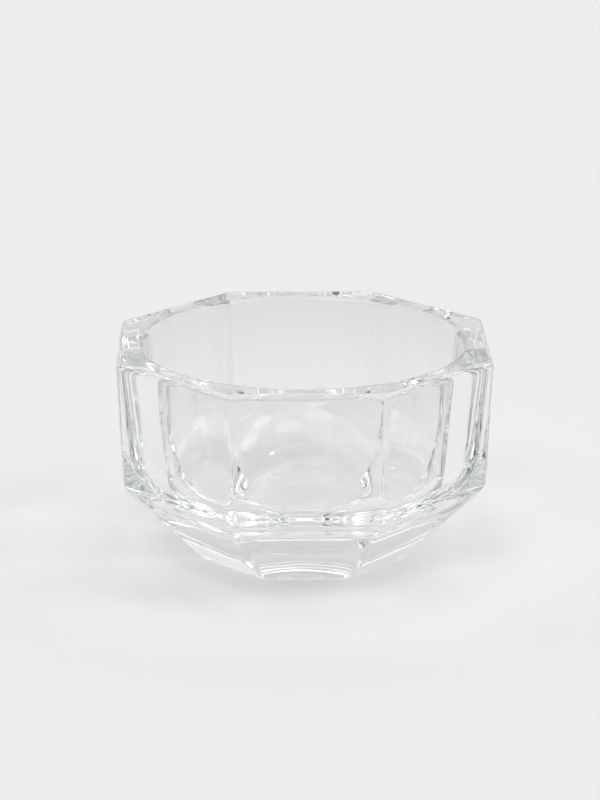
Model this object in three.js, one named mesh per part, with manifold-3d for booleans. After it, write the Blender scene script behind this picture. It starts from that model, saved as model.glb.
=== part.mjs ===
// An octagonal dappen dish in clear pressed crystal glass. The dish is one solid piece: eight upright faces
// below a flat rim, eight faces that taper in to a flat octagonal foot, and a deep round well.
// Millimetres, +Z up. The origin is the centre of the foot's flat underside, and one upright face looks along -Y.

import * as THREE from "three";
import { LoftGeometry } from "three/addons/geometries/LoftGeometry.js";
import { mergeVertices } from "three/addons/utils/BufferGeometryUtils.js";
import Module from "manifold-3d";

// Driving dimensions. A width is measured across the flats, from one face to the face opposite.
const SIDES = 8;
const RIM_WIDTH = 60;
const HEIGHT = 35.4;
const KNEE_WIDTH = 58.1; // where the upright faces meet the tapering ones
const KNEE_HEIGHT = 14.1;
const FOOT_WIDTH = 32.3;
const WELL_RIM_DIAMETER = 51.6;
const WELL_FLOOR_DIAMETER = 46.5; // where the drafted wall, carried on down, would meet the floor
const BASE_THICKNESS = 11.2;

// Fire-polished roundings.
const CORNER_RADIUS = 2.0; // the eight corners in plan
const RIM_EDGE_RADIUS = 1.1;
const LIP_RADIUS = 1.1; // where the rim turns down into the well
const KNEE_RADIUS = 3.0;
const FOOT_EDGE_RADIUS = 1.5;
const WELL_FLOOR_RADIUS = 8; // the turn from the well's wall to its floor

// How finely the roundings are divided.
const EDGE_STEPS = 3;
const FLOOR_STEPS = 9;
const WELL_SEGMENTS = 80;
const CUT_OVERSHOOT = 2; // how far the cutting shape of the well stands above the rim
const MERGE_DISTANCE = 1e-4;

const wasm = await Module();
wasm.setup();

// The arc that rounds `corner`, between the straight runs to `before` and `after`.
function roundedCorner(before, corner, after, radius, steps) {
  const toBefore = before.clone().sub(corner).normalize();
  const toAfter = after.clone().sub(corner).normalize();
  const halfAngle = Math.acos(toBefore.dot(toAfter)) / 2;
  const inward = toBefore.clone().add(toAfter).normalize();
  const centre = corner.clone().addScaledVector(inward, radius / Math.sin(halfAngle));
  const tangentLength = radius / Math.tan(halfAngle);
  const start = corner.clone().addScaledVector(toBefore, tangentLength).sub(centre);
  const end = corner.clone().addScaledVector(toAfter, tangentLength).sub(centre);
  const sweep = Math.atan2(start.cross(end), start.dot(end));
  const arc = [];
  for (let step = 0; step <= steps; step++) {
    arc.push(start.clone().rotateAround(new THREE.Vector2(), (sweep * step) / steps).add(centre));
  }
  return arc;
}

// A profile through corners given as [half width, height, radius, steps]. The first and last are plain ends.
function roundedProfile(corners) {
  const points = corners.map(([x, z]) => new THREE.Vector2(x, z));
  const last = corners.length - 1;
  return corners.flatMap(([, , radius, steps], i) =>
    i === 0 || i === last
      ? [points[i]]
      : roundedCorner(points[i - 1], points[i], points[i + 1], radius, steps),
  );
}

// A level octagon with rounded corners, counterclockwise from above. `half` is half its width across the flats.
function octagonSection(half, z) {
  const turn = (2 * Math.PI) / SIDES;
  const cornerDistance = (half - CORNER_RADIUS) / Math.cos(turn / 2);
  const section = [];
  for (let corner = 0; corner < SIDES; corner++) {
    const bisector = (corner + 0.5) * turn;
    for (let step = 0; step <= EDGE_STEPS; step++) {
      const normal = (corner + step / EDGE_STEPS) * turn;
      section.push(
        new THREE.Vector3(
          cornerDistance * Math.cos(bisector) + CORNER_RADIUS * Math.cos(normal),
          cornerDistance * Math.sin(bisector) + CORNER_RADIUS * Math.sin(normal),
          z,
        ),
      );
    }
  }
  return section;
}

// The outside of the dish as a solid block, with no well. Its flat underside and rim are the loft's two caps.
function outerBlock() {
  const profile = roundedProfile([
    [0, 0],
    [FOOT_WIDTH / 2, 0, FOOT_EDGE_RADIUS, EDGE_STEPS],
    [KNEE_WIDTH / 2, KNEE_HEIGHT, KNEE_RADIUS, EDGE_STEPS],
    [RIM_WIDTH / 2, HEIGHT, RIM_EDGE_RADIUS, EDGE_STEPS],
    [0, HEIGHT],
  ]);
  const sections = profile.slice(1, -1).map(({ x, y }) => octagonSection(x, y));
  return new LoftGeometry(sections, { capStart: true, capEnd: true });
}

// The space inside the dish, with the rounded lip, carried on above the rim so that it cuts cleanly.
function wellSpace() {
  const above = HEIGHT + CUT_OVERSHOOT;
  const rimRadius = WELL_RIM_DIAMETER / 2;
  const profile = roundedProfile([
    [0, BASE_THICKNESS],
    [WELL_FLOOR_DIAMETER / 2, BASE_THICKNESS, WELL_FLOOR_RADIUS, FLOOR_STEPS],
    [rimRadius, HEIGHT, LIP_RADIUS, EDGE_STEPS],
    [RIM_WIDTH, HEIGHT],
  ]);
  profile.pop();
  const lip = profile.at(-1);
  profile.push(new THREE.Vector2(lip.x, above), new THREE.Vector2(0, above));
  const space = new THREE.LatheGeometry(profile, WELL_SEGMENTS);
  return space.rotateX(Math.PI / 2);
}

function toSolid(geometry) {
  const bare = new THREE.BufferGeometry();
  bare.setAttribute("position", geometry.attributes.position);
  bare.setIndex(geometry.index);
  const merged = mergeVertices(bare, MERGE_DISTANCE);
  return new wasm.Manifold(
    new wasm.Mesh({
      numProp: 3,
      vertProperties: new Float32Array(merged.attributes.position.array),
      triVerts: new Uint32Array(merged.index.array),
    }),
  );
}

function toGeometry(solid) {
  const { vertProperties, triVerts } = solid.getMesh();
  const geometry = new THREE.BufferGeometry();
  geometry.setAttribute("position", new THREE.BufferAttribute(vertProperties, 3));
  geometry.setIndex(new THREE.BufferAttribute(triVerts, 1));
  geometry.computeVertexNormals();
  return geometry;
}

const crystalGlass = new THREE.MeshStandardMaterial({
  color: 0xf1f5f5,
  roughness: 0.03,
  metalness: 0,
  transparent: true,
  opacity: 0.3,
});

const dishBody = new THREE.Mesh(toGeometry(toSolid(outerBlock()).subtract(toSolid(wellSpace()))), crystalGlass);
dishBody.name = "dish_body";

const dappenDish = new THREE.Group();
dappenDish.add(dishBody);

export default dappenDish;
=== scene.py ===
# An octagonal dappen dish in clear pressed crystal glass, standing on a pale floor in a soft studio.
# Metres, +Z up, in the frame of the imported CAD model: the origin is the centre of the foot's underside.

import math

import bpy
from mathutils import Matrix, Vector, noise


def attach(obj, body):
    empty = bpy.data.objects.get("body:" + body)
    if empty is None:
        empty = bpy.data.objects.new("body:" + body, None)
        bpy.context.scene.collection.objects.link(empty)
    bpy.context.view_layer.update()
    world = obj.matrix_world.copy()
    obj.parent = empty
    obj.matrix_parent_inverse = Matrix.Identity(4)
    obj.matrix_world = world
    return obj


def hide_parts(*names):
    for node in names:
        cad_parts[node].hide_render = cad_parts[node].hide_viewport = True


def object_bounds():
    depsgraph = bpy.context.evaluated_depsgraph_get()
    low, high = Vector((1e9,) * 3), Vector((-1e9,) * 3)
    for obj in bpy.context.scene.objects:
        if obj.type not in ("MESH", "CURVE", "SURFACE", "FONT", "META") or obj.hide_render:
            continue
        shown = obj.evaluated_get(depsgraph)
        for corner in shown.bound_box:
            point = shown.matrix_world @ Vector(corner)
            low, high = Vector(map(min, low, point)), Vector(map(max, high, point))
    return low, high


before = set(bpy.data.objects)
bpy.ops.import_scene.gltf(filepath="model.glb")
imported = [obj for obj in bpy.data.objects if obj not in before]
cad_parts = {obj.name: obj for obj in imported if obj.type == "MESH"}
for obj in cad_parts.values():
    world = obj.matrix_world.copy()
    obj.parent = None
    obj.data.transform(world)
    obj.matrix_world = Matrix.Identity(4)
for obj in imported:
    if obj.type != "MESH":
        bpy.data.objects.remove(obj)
cad_low, cad_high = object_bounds()

# The dish. A width is measured across the flats, from one face to the face opposite.
SIDES = 8
TURN = 2 * math.pi / SIDES
RIM_WIDTH = 0.060
HEIGHT = cad_high.z - cad_low.z
KNEE_WIDTH = 0.0581
KNEE_HEIGHT = 0.0141
FOOT_WIDTH = 0.0323
WELL_RIM_DIAMETER = 0.0516
WELL_FLOOR_DIAMETER = 0.0465
BASE_THICKNESS = 0.0112

# Fire-polished roundings.
CORNER_RADIUS = 0.0020
RIM_EDGE_RADIUS = 0.0011
LIP_RADIUS = 0.0011
KNEE_RADIUS = 0.0030
FOOT_EDGE_RADIUS = 0.0015
WELL_FLOOR_RADIUS = 0.0080

# How finely the surface is divided. A straight run is cut into lengths of one cell or less.
CORNER_STEPS = 10
FACE_STEPS = 30
EDGE_STEPS = 8
FLOOR_STEPS = 24
FOOT_RINGS = 14
LAND_RINGS = 6
WELL_FLOOR_RINGS = 14
CELL = 0.0009

# The slight waviness of pressed glass: how deep, and how many waves to a metre.
FACE_WAVE_DEPTH = 0.00002
FACE_WAVES = 110
WELL_WAVE_DEPTH = 0.00005
WELL_WAVES = 150

# The glass. The body's density is for each metre of glass; the noise scales are waves to a metre.
GLASS_IOR = 1.52
BODY_COLOUR = (0.825, 0.85, 0.86, 1)
BODY_DENSITY = 8
HAZE_SCALE = 90
HAZE_DETAIL = 3
HAZE_NONE_BELOW = 0.45  # of the noise, which runs from 0 to 1
HAZE_FULL_ABOVE = 0.75
HAZE_ROUGHNESS = 0.02
RIPPLE_SCALE = 260
RIPPLE_DETAIL = 1
RIPPLE_DEPTH = 0.000012

# Painted shade on the well's wall: a grey in the glass's surface colour that darkens it, from nothing at
# the first height to its full depth at the second. It lies inside the first radius, and fades out by the
# second.
UNPAINTED_GLASS_COLOUR = (1, 1, 1, 1)
PAINTED_SHADE_COLOUR = (0.77, 0.777, 0.785, 1)
PAINTED_SHADE_FROM_HEIGHT = 0.017
PAINTED_SHADE_TO_HEIGHT = 0.033
PAINTED_SHADE_INSIDE_RADIUS = 0.0264
PAINTED_SHADE_OUTSIDE_RADIUS = 0.0276

# The floor. It lies a hair below the foot, so that the two faces don't coincide.
FLOOR_HALF_SIZE = 30
FLOOR_GAP = 0.00003
FLOOR_COLOUR = (0.86, 0.86, 0.86, 1)
FLOOR_ROUGHNESS = 0.9

# The studio: a dim surround with lighter and darker areas. Each area is (azimuth, elevation, radius,
# softness, level), with the angles in degrees; azimuth 0 is to the right of the dish and 90 is behind it.
# A level is added to the surround's own.
SURROUND_LEVEL = 0.03
DARKEST_LEVEL = 0.01
AREA_CEILING = (0, 90, 50, 2, 1.22)
AREA_BACKDROP = (90, 6, 58, 8, 0.63)
AREA_WALL_RIGHT = (0, 22, 26, 5, 0.8)
AREA_WALL_LEFT = (180, 14, 24, 8, 0.35)
AREA_WALL_FRONT = (-75, 20, 20, 5, 0.5)
AREA_SOFTBOX_FRONT = (-115, 54, 14, 1, 1.6)
AREA_SOFTBOX_RIGHT = (-12, 44, 12, 1, 2.0)
AREA_DIM_BEHIND = (95, 70, 32, 8, -0.48)
STUDIO_AREAS = [
    AREA_CEILING,
    AREA_BACKDROP,
    AREA_WALL_RIGHT,
    AREA_WALL_LEFT,
    AREA_WALL_FRONT,
    AREA_SOFTBOX_FRONT,
    AREA_SOFTBOX_RIGHT,
    AREA_DIM_BEHIND,
]

# The camera, placed round the middle of the dish. Its angles are in degrees, as the studio's are.
CAMERA_AZIMUTH = -91.17
CAMERA_ELEVATION = 18.487
CAMERA_DISTANCE = 0.5034
CAMERA_AIM = Vector((-0.000546, 0, 0.025152))
CAMERA_LENS = 138.65
CAMERA_SENSOR_WIDTH = 36

# How many times light may pass through or off a surface. Clear glass needs many.
GLASS_BOUNCES = 32
DIFFUSE_BOUNCES = 12


def rotated(v, angle):
    c, s = math.cos(angle), math.sin(angle)
    return Vector((c * v.x - s * v.y, s * v.x + c * v.y))


def rounded_corner(before, corner, after, radius, steps):
    """The arc that rounds a profile's corner, from the run before it to the run after it."""
    to_before = (before - corner).normalized()
    to_after = (after - corner).normalized()
    half_angle = to_before.angle(to_after) / 2
    centre = corner + (to_before + to_after).normalized() * radius / math.sin(half_angle)
    start = corner + to_before * radius / math.tan(half_angle) - centre
    end = corner + to_after * radius / math.tan(half_angle) - centre
    sweep = -start.angle_signed(end)
    return [centre + rotated(start, sweep * step / steps) for step in range(steps + 1)]


def rounded_profile(corners):
    """Corners are (half width, height, radius, steps). The first and last only give a direction."""
    points = [Vector(corner[:2]) for corner in corners]
    profile = []
    for i in range(1, len(corners) - 1):
        profile += rounded_corner(points[i - 1], points[i], points[i + 1], *corners[i][2:])
    return profile


def divided(points):
    """The points, with more between those that lie far apart."""
    fine = [points[0]]
    for a, b in zip(points, points[1:]):
        parts = max(1, math.ceil((b - a).length / CELL))
        fine += [a.lerp(b, part / parts) for part in range(1, parts + 1)]
    return fine


def in_plan(angle):
    """The direction at an angle in radians, in plan."""
    return Vector((math.cos(angle), math.sin(angle)))


def octagon_ring(half):
    """The octagon with rounded corners, in plan. half is half its width across the flats."""
    reach = (half - CORNER_RADIUS) / math.cos(TURN / 2)
    ring = []
    for side in range(SIDES):
        here = in_plan((side + 0.5) * TURN) * reach
        there = in_plan((side + 1.5) * TURN) * reach
        for step in range(CORNER_STEPS):
            ring.append(here + in_plan((side + step / CORNER_STEPS) * TURN) * CORNER_RADIUS)
        for step in range(FACE_STEPS):
            ring.append(here.lerp(there, step / FACE_STEPS) + in_plan((side + 1) * TURN) * CORNER_RADIUS)
    return ring


def round_ring(radius, angles):
    return [in_plan(angle) * radius for angle in angles]


def outer_rings():
    """From the middle of the foot, up over the outside, to the inner edge of the rim's rounding."""
    profile = rounded_profile([
        (0, 0),
        (FOOT_WIDTH / 2, 0, FOOT_EDGE_RADIUS, EDGE_STEPS),
        (KNEE_WIDTH / 2, KNEE_HEIGHT, KNEE_RADIUS, EDGE_STEPS),
        (RIM_WIDTH / 2, HEIGHT, RIM_EDGE_RADIUS, EDGE_STEPS),
        (0, HEIGHT),
    ])
    foot = octagon_ring(profile[0].x)
    rings = [([p * i / FOOT_RINGS for p in foot], 0) for i in range(1, FOOT_RINGS)]
    return rings + [(octagon_ring(p.x), p.y) for p in divided(profile)]


def well_rings(angles):
    """From the lip, down the wall, to the middle of the well's floor."""
    profile = rounded_profile([
        (RIM_WIDTH, HEIGHT),
        (WELL_RIM_DIAMETER / 2, HEIGHT, LIP_RADIUS, EDGE_STEPS),
        (WELL_FLOOR_DIAMETER / 2, BASE_THICKNESS, WELL_FLOOR_RADIUS, FLOOR_STEPS),
        (0, BASE_THICKNESS),
    ])
    rings = [(round_ring(p.x, angles), p.y) for p in divided(profile)]
    flat = profile[-1].x
    return rings + [
        (round_ring(flat * i / WELL_FLOOR_RINGS, angles), BASE_THICKNESS)
        for i in range(WELL_FLOOR_RINGS - 1, 0, -1)
    ]


def land_rings(rim, lip):
    """The flat land between the rim's outer rounding and the lip."""
    return [
        ([p.lerp(q, i / LAND_RINGS) for p, q in zip(rim, lip)], HEIGHT)
        for i in range(1, LAND_RINGS)
    ]


def ring_faces(ring_count, ring_size):
    """The four-sided faces between each ring of vertices and the next."""
    faces = []
    for ring in range(ring_count - 1):
        here = ring * ring_size
        there = here + ring_size
        for k in range(ring_size):
            following = (k + 1) % ring_size
            faces.append((here + k, here + following, there + following, there + k))
    return faces


def end_faces(foot_centre, well_centre, last_ring, ring_size):
    """The triangles that close the first ring round the foot's centre, and the last round the well's."""
    faces = []
    for k in range(ring_size):
        following = (k + 1) % ring_size
        faces.append((foot_centre, following, k))
        faces.append((well_centre, last_ring + k, last_ring + following))
    return faces


def wavy(place, normal, depth, waves):
    """The place, sunk a little along its normal, never raised, so that the dish keeps to its size."""
    return place - normal * depth * (1 + noise.noise(place * waves))


def make_wavy(mesh, first_in_well, foot_centre):
    normals = [vertex.normal.copy() for vertex in mesh.vertices]
    for vertex, normal in zip(mesh.vertices, normals):
        in_well = vertex.index >= first_in_well and vertex.index != foot_centre
        if in_well:
            vertex.co = wavy(vertex.co, normal, WELL_WAVE_DEPTH, WELL_WAVES)
        else:
            vertex.co = wavy(vertex.co, normal, FACE_WAVE_DEPTH, FACE_WAVES)


def dish_mesh():
    """The closed surface, in rings from the foot's centre, over the rim, to the well floor's centre."""
    outside = outer_rings()
    rim = outside[-1][0]
    angles = [math.atan2(p.y, p.x) for p in rim]
    well = well_rings(angles)
    rings = outside + land_rings(rim, well[0][0]) + well
    ring_size = len(angles)
    last_ring = (len(rings) - 1) * ring_size
    first_in_well = (len(rings) - len(well)) * ring_size
    vertices = [(p.x, p.y, z) for ring, z in rings for p in ring]
    foot_centre = len(vertices)
    well_centre = foot_centre + 1
    vertices += [(0, 0, 0), (0, 0, BASE_THICKNESS)]
    faces = ring_faces(len(rings), ring_size)
    faces += end_faces(foot_centre, well_centre, last_ring, ring_size)
    mesh = bpy.data.meshes.new("dish")
    mesh.from_pydata(vertices, [], faces)
    make_wavy(mesh, first_in_well, foot_centre)
    mesh.shade_smooth()
    return mesh


def ramp(tree, value, low, high, at_low, at_high, shape="LINEAR"):
    """A ramp over a value, held level beyond its two ends."""
    node = tree.nodes.new("ShaderNodeMapRange")
    node.interpolation_type = shape
    node.inputs["From Min"].default_value = low
    node.inputs["From Max"].default_value = high
    node.inputs["To Min"].default_value = at_low
    node.inputs["To Max"].default_value = at_high
    tree.links.new(value, node.inputs["Value"])
    return node.outputs["Result"]


def maths(tree, operation, first, second):
    """The result of a Math node. Each of its two inputs is a socket or a plain number."""
    node = tree.nodes.new("ShaderNodeMath")
    node.operation = operation
    for given, socket in zip((first, second), node.inputs):
        if isinstance(given, bpy.types.NodeSocket):
            tree.links.new(given, socket)
        else:
            socket.default_value = given
    return node.outputs["Value"]


def noise_level(tree, place, scale, detail):
    node = tree.nodes.new("ShaderNodeTexNoise")
    node.inputs["Scale"].default_value = scale
    node.inputs["Detail"].default_value = detail
    tree.links.new(place, node.inputs["Vector"])
    return node.outputs["Fac"]


def distance_from_axis(tree, place):
    """How far a place is from the dish's upright axis."""
    flattened = tree.nodes.new("ShaderNodeVectorMath")
    flattened.operation = "MULTIPLY"
    flattened.inputs[1].default_value = (1, 1, 0)
    tree.links.new(place, flattened.inputs[0])
    length = tree.nodes.new("ShaderNodeVectorMath")
    length.operation = "LENGTH"
    tree.links.new(flattened.outputs["Vector"], length.inputs[0])
    return length.outputs["Value"]


def painted_well_shade(tree, place):
    """The surface colour: clear glass, greyed a little by painted shade towards the top of the well's wall.
    """
    split = tree.nodes.new("ShaderNodeSeparateXYZ")
    tree.links.new(place, split.inputs[0])
    radius = distance_from_axis(tree, place)
    rising = ramp(tree, split.outputs["Z"], PAINTED_SHADE_FROM_HEIGHT, PAINTED_SHADE_TO_HEIGHT, 0, 1)
    inside = ramp(tree, radius, PAINTED_SHADE_INSIDE_RADIUS, PAINTED_SHADE_OUTSIDE_RADIUS, 1, 0)
    shade_amount = maths(tree, "MULTIPLY", rising, inside)
    colour = tree.nodes.new("ShaderNodeMix")
    colour.data_type = "RGBA"
    factor, unpainted, painted_grey = [socket for socket in colour.inputs if socket.enabled]
    unpainted.default_value = UNPAINTED_GLASS_COLOUR
    painted_grey.default_value = PAINTED_SHADE_COLOUR
    tree.links.new(shade_amount, factor)
    return next(socket for socket in colour.outputs if socket.enabled)


def glass():
    """Clear glass with a faint cool body, painted shade on the well's wall, a hand-polished ripple and
    traces of haze from handling.
    """
    material = bpy.data.materials.new("crystal_glass")
    material.use_nodes = True
    tree = material.node_tree
    shader = tree.nodes["Principled BSDF"]
    shader.inputs["IOR"].default_value = GLASS_IOR
    shader.inputs["Transmission Weight"].default_value = 1.0

    place = tree.nodes.new("ShaderNodeTexCoord").outputs["Object"]
    # Painted shade: the base colour is greyed towards the top of the well's wall.
    tree.links.new(painted_well_shade(tree, place), shader.inputs["Base Color"])

    haze = noise_level(tree, place, HAZE_SCALE, HAZE_DETAIL)
    roughness = ramp(tree, haze, HAZE_NONE_BELOW, HAZE_FULL_ABOVE, 0, HAZE_ROUGHNESS)
    tree.links.new(roughness, shader.inputs["Roughness"])

    bump = tree.nodes.new("ShaderNodeBump")
    bump.inputs["Strength"].default_value = 1
    bump.inputs["Distance"].default_value = RIPPLE_DEPTH
    tree.links.new(noise_level(tree, place, RIPPLE_SCALE, RIPPLE_DETAIL), bump.inputs["Height"])
    tree.links.new(bump.outputs["Normal"], shader.inputs["Normal"])

    body = tree.nodes.new("ShaderNodeVolumeAbsorption")
    body.inputs["Color"].default_value = BODY_COLOUR
    body.inputs["Density"].default_value = BODY_DENSITY
    tree.links.new(body.outputs["Volume"], tree.nodes["Material Output"].inputs["Volume"])
    return material


def floor_mesh():
    half = FLOOR_HALF_SIZE
    corners = [(-half, -half, 0), (half, -half, 0), (half, half, 0), (-half, half, 0)]
    mesh = bpy.data.meshes.new("floor")
    mesh.from_pydata(corners, [], [(0, 1, 2, 3)])
    return mesh


def floor_material():
    material = bpy.data.materials.new("floor")
    material.use_nodes = True
    shader = material.node_tree.nodes["Principled BSDF"]
    shader.inputs["Base Color"].default_value = FLOOR_COLOUR
    shader.inputs["Roughness"].default_value = FLOOR_ROUGHNESS
    shader.inputs["Specular IOR Level"].default_value = 0.0
    return material


def in_scene(name, data):
    """A new object in the scene, made of the given mesh or camera data."""
    made = bpy.data.objects.new(name, data)
    bpy.context.scene.collection.objects.link(made)
    return made


def towards(azimuth, elevation):
    """The direction at an azimuth and elevation in degrees."""
    across = in_plan(math.radians(azimuth)) * math.cos(math.radians(elevation))
    return Vector((across.x, across.y, math.sin(math.radians(elevation))))


def area_level(tree, direction, azimuth, elevation, radius, softness, level):
    """The area's level inside its radius, fading to nothing outside it."""
    closeness = tree.nodes.new("ShaderNodeVectorMath")
    closeness.operation = "DOT_PRODUCT"
    closeness.inputs[1].default_value = towards(azimuth, elevation)
    tree.links.new(direction, closeness.inputs[0])
    outer = math.cos(math.radians(radius + softness))
    inner = math.cos(math.radians(radius - softness))
    return ramp(tree, closeness.outputs["Value"], outer, inner, 0, level, "SMOOTHSTEP")


def studio_world():
    world = bpy.data.worlds.new("studio")
    world.use_nodes = True
    tree = world.node_tree
    background = tree.nodes["Background"]
    background.inputs["Color"].default_value = (1, 1, 1, 1)
    direction = tree.nodes.new("ShaderNodeTexCoord").outputs["Generated"]
    total = SURROUND_LEVEL
    for area in STUDIO_AREAS:
        total = maths(tree, "ADD", total, area_level(tree, direction, *area))
    lit = maths(tree, "MAXIMUM", total, DARKEST_LEVEL)
    tree.links.new(lit, background.inputs["Strength"])
    return world


def camera_data():
    data = bpy.data.cameras.new("camera")
    data.lens = CAMERA_LENS
    data.sensor_width = CAMERA_SENSOR_WIDTH
    return data


def place_camera(camera):
    middle = Vector((0, 0, HEIGHT / 2))
    camera.location = middle + CAMERA_DISTANCE * towards(CAMERA_AZIMUTH, CAMERA_ELEVATION)
    camera.rotation_euler = (CAMERA_AIM - camera.location).to_track_quat("-Z", "Y").to_euler()


dish = in_scene("dish", dish_mesh())
dish.data.materials.append(glass())
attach(dish, "root")
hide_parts("dish_body")

floor = in_scene("floor", floor_mesh())
floor.location.z = -FLOOR_GAP
floor.data.materials.append(floor_material())

scene = bpy.context.scene
scene.world = studio_world()
scene.camera = in_scene("camera", camera_data())
place_camera(scene.camera)
scene.view_settings.view_transform = "Standard"
scene.cycles.max_bounces = GLASS_BOUNCES
scene.cycles.transmission_bounces = GLASS_BOUNCES
scene.cycles.glossy_bounces = GLASS_BOUNCES
scene.cycles.diffuse_bounces = DIFFUSE_BOUNCES
scene.cycles.blur_glossy = 0  # light that has met the floor still passes through the glass as a clear image
